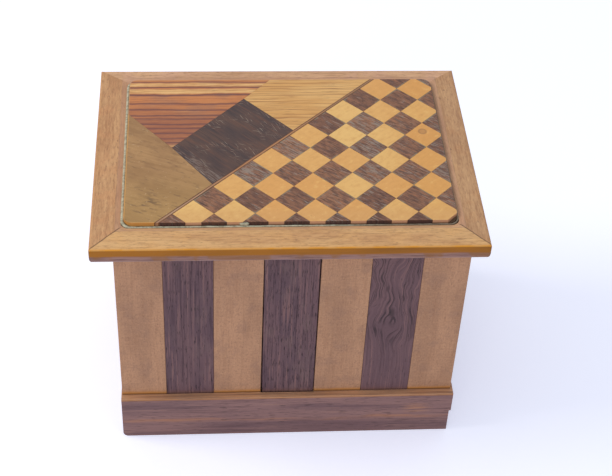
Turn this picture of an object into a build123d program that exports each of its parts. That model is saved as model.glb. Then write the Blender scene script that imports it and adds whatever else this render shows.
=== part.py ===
from build123d import *
import math
import os

# Parquetry puzzle box. Millimetres, +Z up, front towards -Y.
# Origin: centre of the lid's plan, at the height of the surface the box stands on.

# ---- body ----
BODY_W = 123.8           # over the front staves
BODY_D = 88.4            # front stave faces to back stave faces
STAVE_SHOW = 73.5        # stave height that shows above the plinth
STAVE_T = 3.0
WALL_T = 5.0
BOARD_T = 5.0            # bottom board
CORNER_LAP = 3.0         # how far the side walls are let into the front and back walls
JOINT = 0.04             # glued joint line between neighbouring staves or veneers
STAVE_EDGE = 0.12        # worn arris of a stave
STAVES_LEFT = (16.6, 17.6, 17.5)    # front staves left of the loose one
STAVES_RIGHT = (17.7, 17.9, 16.5)   # front staves right of it
SIDE_STAVES = 5
KEY_W = 20.0             # loose front stave, over its slits

# ---- plinth ----
PLINTH_H = 20.6
PLINTH_PROUD_FRONT = 2.7
PLINTH_PROUD_BACK = 1.1
PLINTH_PROUD_LEFT = 0.3
PLINTH_PROUD_RIGHT = 0.9
PLINTH_EDGE = 0.5        # worn ledge arris
PLINTH_FOOT_R = 2.0      # worn lower left corner
PLINTH_STEP = 0.7        # lower part of the right end, set back
PLINTH_STEP_H = 11.0

# ---- lid ----
OVER_LEFT = 7.4          # lid overhangs past the stave faces
OVER_RIGHT = 4.8
OVER_FRONT = 6.0
OVER_BACK = 6.0
LID_T = 6.5
RAIL_LEFT = 10.2
RAIL_RIGHT = 9.4
RAIL_FRONT = 10.9
RAIL_BACK = 6.6
RAIL_ARRIS = 0.7         # rounding of the upper outer edge
RAIL_UNDER_IN = 1.2      # lower outer edge: how far it turns in
RAIL_UNDER_UP = 2.8      # and how high that starts
RAIL_BEVEL = 1.9         # shallow bevel beside the panel, width
RAIL_BEVEL_DROP = 0.5
OPENING_R = 3.0          # inner corners of the rails
REBATE_W = 2.5           # rebate under the rails that holds the ground board
REBATE_H = 3.0
REBATE_FIT = 0.1

# ---- panel and veneers ----
GAP_LEFT = 1.0           # open line round the panel
GAP_RIGHT = 0.6
GAP_FRONT = 1.1
GAP_BACK = 0.7
PANEL_PROUD = 1.0
PANEL_R = 3.4
PANEL_CHIP = 3.6         # veneer lost from the front right corner
VENEER_T = 1.5
SQUARE = 10.0            # side of a chequer square
SLIVER = 0.2             # square millimetres; a smaller offcut of a square is left out
LIGHT_X = 9.6            # centre of the first light square, from the panel's front left corner
LIGHT_Y = 4.4
STRINGING_AT = 10.5      # x - y of the stringing's upper left edge, panel corner as origin
STRINGING_W = 1.2
STRINGING_LINE = 0.3     # each dark edge line
DARK_LEFT_X = 16.2       # dark veneer: left corner
DARK_LEFT_Y = 40.3
DARK_TOP_X = 42.9        # top corner
DARK_TOP_Y = 69.1
DARK_LOW_Y = 20.0        # and its two corners on the stringing
DARK_RIGHT_Y = 50.0
OLIVE_EDGE_Y = 60.1      # olive veneer's upper end on the panel's left edge
PALE_BACK_X = 53.3       # pale veneer's left end on the panel's back edge

# ---- loose stave and its lock ----
KEY_TRAVEL = 3.0
KEY_HEAD_CLEAR = 0.3     # left under the lid when the stave is up
KEY_SLIT = 0.4           # mean open slit beside the stave
KEY_LEAN = 0.15          # sideways lean of each edge, top against bottom
KEY_TAIL = 8.0           # length that stands in the plinth's pocket
KEY_TONGUE_T = 1.0       # tongues on the stave's back edges
KEY_TONGUE_W = 1.6
KEY_CLEAR = 0.2          # running clearance of tongue and tail
PEG_D = 2.0
PEG_BELOW_TOP = 15.0     # peg under the wall's top, with the stave down
PEG_IN_KEY = 1.8
PEG_CLEAR = 0.2
BOLT_T = 1.2
BOLT_SLOT_CLEAR = 0.1
BOLT_GUIDE = 0.1         # clearance above and below the bolt
BOLT_LEFT = 9.0          # bolt outline, from the peg
BOLT_RIGHT = 1.0
BOLT_BELOW = 3.0         # bolt outline under and over the slot
BOLT_ABOVE = 7.0
BOLT_NOSE_L = 3.4
BOLT_NOSE_H = 3.0
HOOK_GAP = 0.3           # bolt to hook
HOOK_LEG_W = 3.0
HOOK_TOE_L = 3.3
HOOK_TOE_H = 2.4
HOOK_FOOT_T = 1.0
HOOK_FOOT_W = 15.0
HOOK_FOOT_D = 5.4
HOOK_SEAT_FIT = 0.05
HOOK_SCREW_BACK = 0.6    # screws behind the middle of the foot
LOCK_POCKET = 3.3        # depth of the recess in the front wall
COVER_T = 1.0
COVER_LAP = 3.2          # cover past the recess, for its screws
COVER_TUCK = 0.1         # play between bolt and cover

# ---- hinges ----
HINGE_W = 16.0
HINGE_IN = 27.0          # hinge centre from the body's side
HINGE_OFFSET = 1.9       # pin centre behind the back stave faces
BARREL_D = 3.2
PIN_D = 1.5
PIN_CLEAR = 0.05
LEAF_T = 0.8
LEAF_D = 7.4             # leaf depth on the wall top
KNUCKLE_GAP = 0.15
HINGE_NOTCH = 0.3        # clearance of the barrel in the lid
HINGE_SCREW_IN = 5.3     # screw line from the back stave faces
HINGE_SCREW_SPREAD = 9.0
SCREW_D = 1.2
SCREW_HEAD_D = 2.2
SCREW_L = 3.8
LOCK_SCREW_L = 2.8

# ---- worked out from the above ----
LID_W = BODY_W + OVER_LEFT + OVER_RIGHT
LID_D = BODY_D + OVER_FRONT + OVER_BACK
X0 = -LID_W / 2 + OVER_LEFT            # body, left
X1 = X0 + BODY_W
Y0 = -LID_D / 2 + OVER_FRONT           # body, front
Y1 = Y0 + BODY_D
TOP = PLINTH_H + STAVE_SHOW            # wall tops, where the lid lies
LID_TOP = TOP + LID_T
PANEL_TOP = LID_TOP + PANEL_PROUD
LX0, LX1 = -LID_W / 2, LID_W / 2
LY0, LY1 = -LID_D / 2, LID_D / 2
OX0, OX1 = LX0 + RAIL_LEFT, LX1 - RAIL_RIGHT    # opening in the rails
OY0, OY1 = LY0 + RAIL_FRONT, LY1 - RAIL_BACK
PX0, PX1 = OX0 + GAP_LEFT, OX1 - GAP_RIGHT      # panel
PY0, PY1 = OY0 + GAP_FRONT, OY1 - GAP_BACK
KEY_X = X0 + sum(STAVES_LEFT) / (sum(STAVES_LEFT) + sum(STAVES_RIGHT)) * (BODY_W - KEY_W) + KEY_W / 2
KEY_TOP = TOP - KEY_TRAVEL - KEY_HEAD_CLEAR     # hidden behind the lid's overhang
PEG_LOW_Z = TOP - PEG_BELOW_TOP
WALL_FACE = Y0 + STAVE_T + WALL_T      # inner face of the front wall
POCKET_Y = WALL_FACE - LOCK_POCKET     # floor of the lock recess
LOCK_Y1 = WALL_FACE - COVER_T - COVER_TUCK      # back face of bolt and hook
LOCK_Y0 = LOCK_Y1 - BOLT_T
BOLT_X0 = KEY_X - BOLT_LEFT
BOLT_X1 = KEY_X + BOLT_RIGHT
BOLT_TIP = BOLT_X1 + BOLT_NOSE_L
BOLT_Z0 = PEG_LOW_Z - BOLT_BELOW
TOE_X0 = BOLT_TIP + HOOK_GAP
LEG_X0 = TOE_X0 + HOOK_TOE_L
LEG_X1 = LEG_X0 + HOOK_LEG_W
BOLT_Z1 = PEG_LOW_Z + KEY_TRAVEL + BOLT_ABOVE
NOSE_Z0 = BOLT_Z1 - BOLT_NOSE_H
TOE_Z1 = NOSE_Z0 - HOOK_GAP
TOE_Z0 = TOE_Z1 - HOOK_TOE_H
HINGE_Y = Y1 + HINGE_OFFSET
HINGE_XS = (X0 + HINGE_IN, X1 - HINGE_IN)
DIAGONAL = SQUARE * math.sqrt(2)
FIELD_EDGE = STRINGING_AT - JOINT * 2    # veneers left of the stringing end here


def block(x0, x1, y0, y1, z0, z1):
    centre = Pos((x0 + x1) / 2, (y0 + y1) / 2, (z0 + z1) / 2)
    return centre * Box(x1 - x0, y1 - y0, z1 - z0)


def group(solids):
    return Compound(children=list(solids))


def prism(points, z0, z1):
    face = make_face(Polyline(*points, close=True))
    return Pos(0, 0, z0) * extrude(face, amount=z1 - z0, dir=(0, 0, 1))


def plate_xz(points, y0, y1):
    # a plate cut to an outline of (x, z) points
    face = make_face(Polyline(*[(x, y0, z) for x, z in points], close=True))
    return extrude(face, amount=y1 - y0, dir=(0, 1, 0))


def rounded(x0, x1, y0, y1, z0, z1, radius):
    solid = block(x0, x1, y0, y1, z0, z1)
    return fillet(solid.edges().filter_by(Axis.Z), radius)


def rod_x(x0, x1, y, z, radius):
    return Pos((x0 + x1) / 2, y, z) * Rot(0, 90, 0) * Cylinder(radius, x1 - x0)


def rod_y(x, y0, y1, z, radius):
    return Pos(x, (y0 + y1) / 2, z) * Rot(90, 0, 0) * Cylinder(radius, y1 - y0)


def screw_hole(length):
    # countersunk hole, pointing down from z = 0
    head_h = (SCREW_HEAD_D - SCREW_D) / 2
    head = Pos(0, 0, -head_h / 2) * Cone(SCREW_D / 2, SCREW_HEAD_D / 2, head_h)
    shank = Pos(0, 0, -(head_h + length) / 2) * Cylinder(SCREW_D / 2, length - head_h)
    return head + shank


def screw(length):
    # wood screw that fills the hole, with a slot across its head
    return screw_hole(length) - Box(SCREW_HEAD_D * 2, SCREW_D / 4, SCREW_D / 3)


# ---- carcass ----
def bottom_board():
    return block(X0 + STAVE_T, X1 - STAVE_T, Y0 + STAVE_T, Y1 - STAVE_T, 0, BOARD_T)


def lap_cuts(y0, y1):
    # seats at both ends of a front or back wall for the side walls
    left = block(X0, X0 + STAVE_T + WALL_T, y0, y1, BOARD_T - 1, TOP + 1)
    right = block(X1 - STAVE_T - WALL_T, X1, y0, y1, BOARD_T - 1, TOP + 1)
    return left + right


def lock_recess():
    # room for the bolt, its travel and the hook; open at the wall's top for the hook
    right = LEG_X1 + HOOK_GAP
    bolt_room = block(
        BOLT_X0 - HOOK_GAP, right, POCKET_Y, WALL_FACE + 1,
        BOLT_Z0 - BOLT_GUIDE, BOLT_Z1 + BOLT_GUIDE,
    )
    hook_room = block(TOE_X0 - HOOK_GAP, right, POCKET_Y, WALL_FACE + 1, TOE_Z0 - HOOK_GAP, TOP + 1)
    return bolt_room + hook_room


def cover_seat():
    return block(
        BOLT_X0 - HOOK_GAP - COVER_LAP, LEG_X1 + HOOK_GAP + COVER_LAP,
        WALL_FACE - COVER_T, WALL_FACE + 1,
        BOLT_Z0 - BOLT_GUIDE - COVER_LAP, TOP + 1,
    )


def cover_screw_spots():
    inset = COVER_LAP / 2
    left = BOLT_X0 - HOOK_GAP - inset
    right = LEG_X1 + HOOK_GAP + inset
    low = BOLT_Z0 - BOLT_GUIDE - inset
    high = TOP - inset
    return [(left, low), (right, low), (left, high), (right, high)]


def lock_screws(hole=False):
    shape = screw_hole(LOCK_SCREW_L) if hole else screw(LOCK_SCREW_L)
    turn = Rot(-90, 0, 0)
    return [Pos(x, WALL_FACE, z) * turn * shape for x, z in cover_screw_spots()]


def peg_slot():
    half = PEG_D / 2 + PEG_CLEAR
    low = PEG_LOW_Z - half
    high = PEG_LOW_Z + KEY_TRAVEL + half
    return block(KEY_X - half, KEY_X + half, Y0, WALL_FACE, low, high)


def front_wall():
    wall = block(X0 + STAVE_T, X1 - STAVE_T, Y0 + STAVE_T, WALL_FACE, BOARD_T, TOP)
    wall -= lap_cuts(WALL_FACE - CORNER_LAP, WALL_FACE + 1)
    wall -= lock_recess()
    wall -= cover_seat()
    wall -= peg_slot()
    for hole in lock_screws(hole=True):
        wall -= hole
    return wall


def back_wall():
    inner = Y1 - STAVE_T - WALL_T
    wall = block(X0 + STAVE_T, X1 - STAVE_T, inner, Y1 - STAVE_T, BOARD_T, TOP)
    wall -= lap_cuts(inner - 1, inner + CORNER_LAP)
    return wall - group(case_leaf_seats() + case_screw_holes())


def side_wall(x0):
    y0 = WALL_FACE - CORNER_LAP
    y1 = Y1 - STAVE_T - WALL_T + CORNER_LAP
    return block(x0, x0 + WALL_T, y0, y1, BOARD_T, TOP)


# ---- staves ----
def stave(x0, x1, y0, y1):
    solid = block(x0, x1, y0, y1, PLINTH_H, TOP)
    return chamfer(solid.edges().filter_by(Axis.Z), STAVE_EDGE)


def spread(start, span, shares):
    # start and end of each stave along a face, shares in the same order
    total = sum(shares)
    places = []
    at = start
    for share in shares:
        width = span * share / total
        places.append((at + JOINT, at + width - JOINT))
        at += width
    return places


def front_places():
    left = spread(X0, KEY_X - KEY_W / 2 - X0, STAVES_LEFT)
    right = spread(KEY_X + KEY_W / 2, X1 - KEY_X - KEY_W / 2, STAVES_RIGHT)
    return left + [None] + right


def tongue_rebates():
    # grooves behind the neighbours' edges for the loose stave's tongues
    reach = KEY_W / 2 + KEY_TONGUE_W + KEY_CLEAR - KEY_SLIT
    back = Y0 + STAVE_T
    front = back - KEY_TONGUE_T - KEY_CLEAR
    return block(KEY_X - reach, KEY_X + reach, front, back + 1, PLINTH_H - 1, TOP + 1)


def front_staves():
    staves = {}
    for number, place in enumerate(front_places(), start=1):
        if place is None:
            continue
        solid = stave(place[0], place[1], Y0, Y0 + STAVE_T)
        staves[f"front_stave_{number}"] = solid - tongue_rebates()
    return staves


def back_staves():
    staves = {}
    shares = STAVES_LEFT + (KEY_W,) + STAVES_RIGHT
    for number, place in enumerate(spread(X0, BODY_W, shares), start=1):
        solid = stave(place[0], place[1], Y1 - STAVE_T, Y1)
        staves[f"back_stave_{number}"] = solid - group(case_leaf_seats())
    return staves


def side_staves(name, x0):
    staves = {}
    run = spread(Y0 + STAVE_T, BODY_D - 2 * STAVE_T, (1,) * SIDE_STAVES)
    for number, place in enumerate(run, start=1):
        staves[f"{name}_stave_{number}"] = stave(x0, x0 + STAVE_T, place[0], place[1])
    return staves


# ---- loose stave ----
def key_stave():
    low = PLINTH_H - KEY_TAIL
    half = KEY_W / 2 - KEY_SLIT
    face_back = Y0 + STAVE_T - KEY_TONGUE_T
    left_low, left_high = KEY_X - half + KEY_LEAN, KEY_X - half - KEY_LEAN
    right_low, right_high = KEY_X + half + KEY_LEAN, KEY_X + half - KEY_LEAN
    outline = [(left_low, PLINTH_H), (right_low, PLINTH_H), (right_high, KEY_TOP), (left_high, KEY_TOP)]
    face = plate_xz(outline, Y0, face_back)
    front_arrises = face.edges().group_by(Axis.Y)[0].filter_by(Axis.X, reverse=True)
    face = chamfer(front_arrises, STAVE_EDGE)
    reach = half + KEY_TONGUE_W
    back = block(KEY_X - reach, KEY_X + reach, face_back, Y0 + STAVE_T, PLINTH_H, KEY_TOP)
    tail = block(KEY_X - half + KEY_LEAN, KEY_X + half - KEY_LEAN, Y0, Y0 + STAVE_T, low, PLINTH_H)
    hole = rod_y(KEY_X, Y0 + STAVE_T - PEG_IN_KEY, Y0 + STAVE_T + 1, PEG_LOW_Z, PEG_D / 2)
    return face + back + tail - hole


def key_peg():
    return rod_y(KEY_X, Y0 + STAVE_T - PEG_IN_KEY, LOCK_Y1, PEG_LOW_Z, PEG_D / 2)


def lock_bolt():
    outline = [
        (BOLT_X0, BOLT_Z0), (BOLT_X1, BOLT_Z0), (BOLT_X1, NOSE_Z0),
        (BOLT_TIP, NOSE_Z0), (BOLT_TIP, BOLT_Z1), (BOLT_X0, BOLT_Z1),
    ]
    bolt = plate_xz(outline, LOCK_Y0, LOCK_Y1)
    # slot at 45 degrees: the peg rises in it and drives the bolt to the right
    half = PEG_D / 2 + BOLT_SLOT_CLEAR
    run = KEY_TRAVEL * math.sqrt(2)
    middle = Pos(KEY_X - KEY_TRAVEL / 2, (LOCK_Y0 + LOCK_Y1) / 2, PEG_LOW_Z + KEY_TRAVEL / 2)
    slot = middle * Rot(0, 45, 0) * Box(run, BOLT_T * 2, half * 2)
    for end in (0, KEY_TRAVEL):
        slot += rod_y(KEY_X - end, LOCK_Y0 - 1, LOCK_Y1 + 1, PEG_LOW_Z + end, half)
    return bolt - slot


def lock_cover():
    cover = block(
        BOLT_X0 - HOOK_GAP - COVER_LAP, LEG_X1 + HOOK_GAP + COVER_LAP,
        WALL_FACE - COVER_T, WALL_FACE,
        BOLT_Z0 - BOLT_GUIDE - COVER_LAP, TOP,
    )
    return cover - group(lock_screws(hole=True))


# ---- plinth ----
def plinth_front_back(y0, y1, front):
    left, right = X0 - PLINTH_PROUD_LEFT, X1 + PLINTH_PROUD_RIGHT
    solid = block(left, right, y0, y1, 0, PLINTH_H)
    solid -= block(right - PLINTH_STEP, right + 1, y0 - 1, y1 + 1, -1, PLINTH_STEP_H)
    foot = solid.edges().filter_by(Axis.Y).sort_by(lambda e: e.center().X + e.center().Z)[0]
    solid = fillet(foot, PLINTH_FOOT_R)
    rim = solid.edges().group_by(Axis.Z)[-1].filter_by(Axis.X)
    rim = rim.sort_by(Axis.Y)[0 if front else -1]
    solid = fillet(rim, PLINTH_EDGE)
    if front:
        half = KEY_W / 2 - KEY_SLIT + KEY_LEAN + KEY_CLEAR
        floor = PLINTH_H - KEY_TAIL
        y0 = Y0 - KEY_CLEAR
        solid -= block(KEY_X - half, KEY_X + half, y0, Y0 + STAVE_T + 1, floor, PLINTH_H + 1)
    return solid


def plinth_side(x0, x1, right):
    solid = block(x0, x1, Y0 + STAVE_T, Y1 - STAVE_T, 0, PLINTH_H)
    outer = solid.edges().group_by(Axis.Z)[-1].filter_by(Axis.Y).sort_by(Axis.X)[-1 if right else 0]
    solid = fillet(outer, min(PLINTH_EDGE, (x1 - x0 - STAVE_T) / 2))
    if right:
        solid -= block(x1 - PLINTH_STEP, x1 + 1, Y0, Y1, -1, PLINTH_STEP_H)
    return solid


# ---- lid rails ----
def rail_stock():
    # each side's stock before its mitres, with its outward direction
    return {
        "front": (block(LX0, LX1, LY0, OY0 + OPENING_R, TOP, LID_TOP), (0, -1, 0)),
        "right": (block(OX1 - OPENING_R, LX1, LY0, LY1, TOP, LID_TOP), (1, 0, 0)),
        "back": (block(LX0, LX1, OY1 - OPENING_R, LY1, TOP, LID_TOP), (0, 1, 0)),
        "left": (block(LX0, OX0 + OPENING_R, LY0, LY1, TOP, LID_TOP), (-1, 0, 0)),
    }


def under_waste(outward):
    # what the turned-in lower edge loses: a quarter ellipse run along one side of the lid
    curve = EllipticalCenterArc(
        (RAIL_UNDER_IN, RAIL_UNDER_UP), RAIL_UNDER_IN, RAIL_UNDER_UP, start_angle=180, arc_size=90
    )
    rim = Polyline(
        (RAIL_UNDER_IN, 0), (RAIL_UNDER_IN, -1), (-1, -1), (-1, RAIL_UNDER_UP), (0, RAIL_UNDER_UP)
    )
    edge = (LX1 * outward[0], LY1 * outward[1], TOP)
    inward = Vector(outward) * -1
    section = Plane(origin=edge, x_dir=inward, z_dir=inward.cross(Vector(0, 0, 1)))
    return extrude(section * make_face(curve + rim), amount=LID_W + LID_D, both=True)


def mitre_wedges():
    z0, z1 = TOP - 1, LID_TOP + 1
    corners = [(LX0, LY0), (LX1, LY0), (LX1, LY1), (LX0, LY1)]
    inner = [
        (OX0 + OPENING_R, OY0 + OPENING_R), (OX1 - OPENING_R, OY0 + OPENING_R),
        (OX1 - OPENING_R, OY1 - OPENING_R), (OX0 + OPENING_R, OY1 - OPENING_R),
    ]
    wedges = {}
    for side, name in enumerate(("front", "right", "back", "left")):
        after = (side + 1) % 4
        wedges[name] = prism([corners[side], corners[after], inner[after], inner[side]], z0, z1)
    return wedges


def opening_waste():
    # the opening itself and the shallow bevel round it
    hole = rounded(OX0, OX1, OY0, OY1, TOP - 1, LID_TOP + 1, OPENING_R)
    middle = ((OX0 + OX1) / 2, (OY0 + OY1) / 2)
    low = Pos(*middle, LID_TOP - RAIL_BEVEL_DROP) * RectangleRounded(OX1 - OX0, OY1 - OY0, OPENING_R)
    wide = RectangleRounded(
        OX1 - OX0 + 2 * RAIL_BEVEL, OY1 - OY0 + 2 * RAIL_BEVEL, OPENING_R + RAIL_BEVEL
    )
    high = Pos(*middle, LID_TOP) * wide
    return hole + loft([low, high], ruled=True)


def lid_rails():
    rails = {}
    wedges = mitre_wedges()
    rebate = block(
        OX0 - REBATE_W, OX1 + REBATE_W, OY0 - REBATE_W, OY1 + REBATE_W, TOP - 1, TOP + REBATE_H
    )
    waste = opening_waste()
    for name, (stock, outward) in rail_stock().items():
        arris = stock.edges().group_by(Axis.Z)[-1].sort_by(Axis((0, 0, 0), outward))[-1]
        rail = fillet(arris, RAIL_ARRIS) - under_waste(outward)
        rail = (rail & wedges[name]) - waste - rebate
        if name == "back":
            rail -= hinge_notches()
            rail -= group(lid_leaf_seats())
        rails[f"lid_frame_{name}"] = rail
    return rails


# ---- lid panel ----
def panel_outline(z0, z1):
    return rounded(PX0, PX1, PY0, PY1, z0, z1, PANEL_R)


def veneered_area(z0, z1):
    # the panel without its broken corner
    lost = [(PX1, PY0), (PX1, PY0 + PANEL_CHIP), (PX1 - PANEL_CHIP, PY0)]
    return panel_outline(z0, z1) - prism(lost, z0, z1)


def lid_panel():
    inset = REBATE_W - REBATE_FIT
    flange = block(OX0 - inset, OX1 + inset, OY0 - inset, OY1 + inset, TOP, TOP + REBATE_H - REBATE_FIT)
    board = flange + panel_outline(TOP, PANEL_TOP - VENEER_T)
    board -= hook_seat()
    board -= hinge_notches()
    board -= group(lid_leaf_seats() + lid_screw_holes() + hook_screws(hole=True))
    return board


def veneer(points):
    local = [(PX0 + x, PY0 + y) for x, y in points]
    z0, z1 = PANEL_TOP - VENEER_T, PANEL_TOP
    return prism(local, z0, z1) & veneered_area(z0, z1)


def stringing_end(offset):
    # where the line x - y = offset leaves the panel at its front and back edges
    depth = PY1 - PY0
    return (offset, 0.0), (offset + depth, depth)


def stringing_strip(low, high):
    a0, a1 = stringing_end(STRINGING_AT + low * math.sqrt(2))
    b0, b1 = stringing_end(STRINGING_AT + high * math.sqrt(2))
    return veneer([a0, b0, b1, a1])


def dark_corners():
    low = (DARK_LOW_Y + FIELD_EDGE, DARK_LOW_Y)
    right = (DARK_RIGHT_Y + FIELD_EDGE, DARK_RIGHT_Y)
    return (DARK_LEFT_X, DARK_LEFT_Y), low, right, (DARK_TOP_X, DARK_TOP_Y)


def moved(point, dx, dy):
    return point[0] + dx * JOINT, point[1] + dy * JOINT


def striped_veneer():
    left, low, right, top = dark_corners()
    back = PY1 - PY0
    return veneer([(0, OLIVE_EDGE_Y + JOINT), moved(left, 0, 1), moved(top, -1, 1),
                   (PALE_BACK_X - JOINT, back), (0, back)])


def pale_veneer():
    left, low, right, top = dark_corners()
    back = PY1 - PY0
    return veneer([moved(top, 1, 1), moved(right, 1, 1),
                   (FIELD_EDGE + back, back), (PALE_BACK_X + JOINT, back)])


def dark_veneer():
    return veneer(dark_corners())


def olive_veneer():
    left, low, right, top = dark_corners()
    return veneer([(0, 0), (FIELD_EDGE, 0), moved(low, -1, -1),
                   moved(left, -1, -1), (0, OLIVE_EDGE_Y - JOINT)])


def chequer_squares(dark):
    # diagonal lattice right of the stringing, cut by the panel's edges
    width, depth = PX1 - PX0, PY1 - PY0
    edge = STRINGING_AT + STRINGING_W * math.sqrt(2) + JOINT * 2
    far = PX0 + edge + 2 * depth
    z0, z1 = PANEL_TOP - VENEER_T, PANEL_TOP
    field = prism([(PX0 + edge, PY0), (far, PY0), (far, PY0 + 2 * depth)], z0, z1)
    field &= veneered_area(z0, z1)
    half = DIAGONAL / 2 - JOINT * math.sqrt(2)
    shift = 0.5 if dark else 0.0
    solids = []
    for row in range(-1, int(depth / DIAGONAL) + 2):
        for column in range(-1, int(width / DIAGONAL) + 2):
            x = PX0 + LIGHT_X + (shift + column) * DIAGONAL
            y = PY0 + LIGHT_Y + (shift + row) * DIAGONAL
            square = prism([(x - half, y), (x, y - half), (x + half, y), (x, y + half)], z0, z1)
            piece = square & field
            if piece is None:
                continue
            solids += [solid for solid in piece.solids() if solid.volume > SLIVER * VENEER_T]
    return group(solids)


# ---- hook ----
def hook_foot_box(clear):
    middle = (LEG_X0 + LEG_X1) / 2
    y0 = LOCK_Y0 - clear
    return block(middle - HOOK_FOOT_W / 2 - clear, middle + HOOK_FOOT_W / 2 + clear,
                 y0, LOCK_Y0 + HOOK_FOOT_D + clear, TOP - clear, TOP + HOOK_FOOT_T)


def hook_seat():
    return hook_foot_box(HOOK_SEAT_FIT)


def hook_screws(hole=False):
    shape = screw_hole(SCREW_L) if hole else screw(SCREW_L)
    middle = (LEG_X0 + LEG_X1) / 2
    spread_x = HOOK_FOOT_W / 2 - SCREW_HEAD_D
    y = LOCK_Y0 + HOOK_FOOT_D / 2 + HOOK_SCREW_BACK
    return [Pos(middle + side * spread_x, y, TOP) * Rot(180, 0, 0) * shape for side in (-1, 1)]


def lid_hook():
    outline = [
        (TOE_X0, TOE_Z0), (LEG_X1, TOE_Z0), (LEG_X1, TOP),
        (LEG_X0, TOP), (LEG_X0, TOE_Z1), (TOE_X0, TOE_Z1),
    ]
    leg = plate_xz(outline, LOCK_Y0, LOCK_Y1)
    return leg + hook_foot_box(0) - group(hook_screws(hole=True))


# ---- hinges ----
def knuckle_spans(x):
    third = HINGE_W / 3
    x0 = x - HINGE_W / 2
    gap = KNUCKLE_GAP / 2
    case = [(x0, x0 + third - gap), (x0 + 2 * third + gap, x0 + HINGE_W)]
    lid = [(x0 + third + gap, x0 + 2 * third - gap)]
    return case, lid


def hinge_leaf(x, spans, z0, z1):
    leaf = block(x - HINGE_W / 2, x + HINGE_W / 2, Y1 - LEAF_D, Y1, z0, z1)
    for x0, x1 in spans:
        leaf += block(x0, x1, Y1, HINGE_Y, z0, z1)
        leaf += rod_x(x0, x1, HINGE_Y, TOP, BARREL_D / 2)
    bore = rod_x(x - HINGE_W, x + HINGE_W, HINGE_Y, TOP, PIN_D / 2 + PIN_CLEAR)
    return leaf - bore


def screw_spots(x):
    y = Y1 - HINGE_SCREW_IN
    return [(x - HINGE_SCREW_SPREAD / 2, y), (x + HINGE_SCREW_SPREAD / 2, y)]


def case_screw_shapes(shape):
    return [Pos(x, y, TOP) * shape for hinge in HINGE_XS for x, y in screw_spots(hinge)]


def lid_screw_shapes(shape):
    return [Pos(x, y, TOP) * Rot(180, 0, 0) * shape for hinge in HINGE_XS for x, y in screw_spots(hinge)]


def case_screw_holes():
    return case_screw_shapes(screw_hole(SCREW_L))


def lid_screw_holes():
    return lid_screw_shapes(screw_hole(SCREW_L))


def leaf_seats(y1, z0, z1):
    half = HINGE_W / 2
    return [block(x - half, x + half, Y1 - LEAF_D, y1, z0, z1) for x in HINGE_XS]


def case_leaf_seats():
    return leaf_seats(Y1 + 1, TOP - LEAF_T, TOP + 1)


def lid_leaf_seats():
    return leaf_seats(HINGE_Y, TOP - 1, TOP + LEAF_T)


def hinge_notches():
    reach = HINGE_W / 2 + HINGE_NOTCH
    rods = [rod_x(x - reach, x + reach, HINGE_Y, TOP, BARREL_D / 2 + HINGE_NOTCH) for x in HINGE_XS]
    return rods[0] + rods[1]


def hinges():
    nodes = {}
    for name, x in zip(("left", "right"), HINGE_XS):
        case_spans, lid_spans = knuckle_spans(x)
        case_leaf = hinge_leaf(x, case_spans, TOP - LEAF_T, TOP)
        lid_leaf = hinge_leaf(x, lid_spans, TOP, TOP + LEAF_T)
        nodes[f"{name}_hinge_case_leaf"] = case_leaf - group(case_screw_holes())
        nodes[f"{name}_hinge_lid_leaf"] = lid_leaf - group(lid_screw_holes())
        nodes[f"{name}_hinge_pin"] = rod_x(x - HINGE_W / 2, x + HINGE_W / 2, HINGE_Y, TOP, PIN_D / 2)
    nodes["case_hinge_screws"] = group(case_screw_shapes(screw(SCREW_L)))
    nodes["lid_hinge_screws"] = group(lid_screw_shapes(screw(SCREW_L)))
    return nodes


def all_nodes():
    nodes = {
        "bottom_board": bottom_board(),
        "front_wall": front_wall(),
        "back_wall": back_wall(),
        "left_wall": side_wall(X0 + STAVE_T),
        "right_wall": side_wall(X1 - STAVE_T - WALL_T),
        "plinth_front": plinth_front_back(Y0 - PLINTH_PROUD_FRONT, Y0 + STAVE_T, True),
        "plinth_back": plinth_front_back(Y1 - STAVE_T, Y1 + PLINTH_PROUD_BACK, False),
        "plinth_left": plinth_side(X0 - PLINTH_PROUD_LEFT, X0 + STAVE_T, False),
        "plinth_right": plinth_side(X1 - STAVE_T, X1 + PLINTH_PROUD_RIGHT, True),
        "lock_cover": lock_cover(),
        "lock_cover_screws": group(lock_screws()),
        "key_stave": key_stave(),
        "key_peg": key_peg(),
        "lock_bolt": lock_bolt(),
        "lid_panel": lid_panel(),
        "striped_veneer": striped_veneer(),
        "pale_veneer": pale_veneer(),
        "dark_veneer": dark_veneer(),
        "olive_veneer": olive_veneer(),
        "stringing_core": stringing_strip(STRINGING_LINE, STRINGING_W - STRINGING_LINE),
        "stringing_lines": group([stringing_strip(0, STRINGING_LINE),
                                  stringing_strip(STRINGING_W - STRINGING_LINE, STRINGING_W)]),
        "light_squares": chequer_squares(False),
        "dark_squares": chequer_squares(True),
        "lid_hook": lid_hook(),
        "lid_hook_screws": group(hook_screws()),
    }
    nodes.update(front_staves())
    nodes.update(back_staves())
    nodes.update(side_staves("left", X0))
    nodes.update(side_staves("right", X1 - STAVE_T))
    nodes.update(hinges())
    nodes.update(lid_rails())
    return nodes


os.makedirs("parts", exist_ok=True)
for node, shape in all_nodes().items():
    export_step(shape, f"parts/{node}.step")
print(f"lid {LID_W:.1f} x {LID_D:.1f}, height {PANEL_TOP:.1f}")
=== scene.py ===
import math

import bmesh
import bpy
from mathutils import Matrix, Vector, noise


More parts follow.
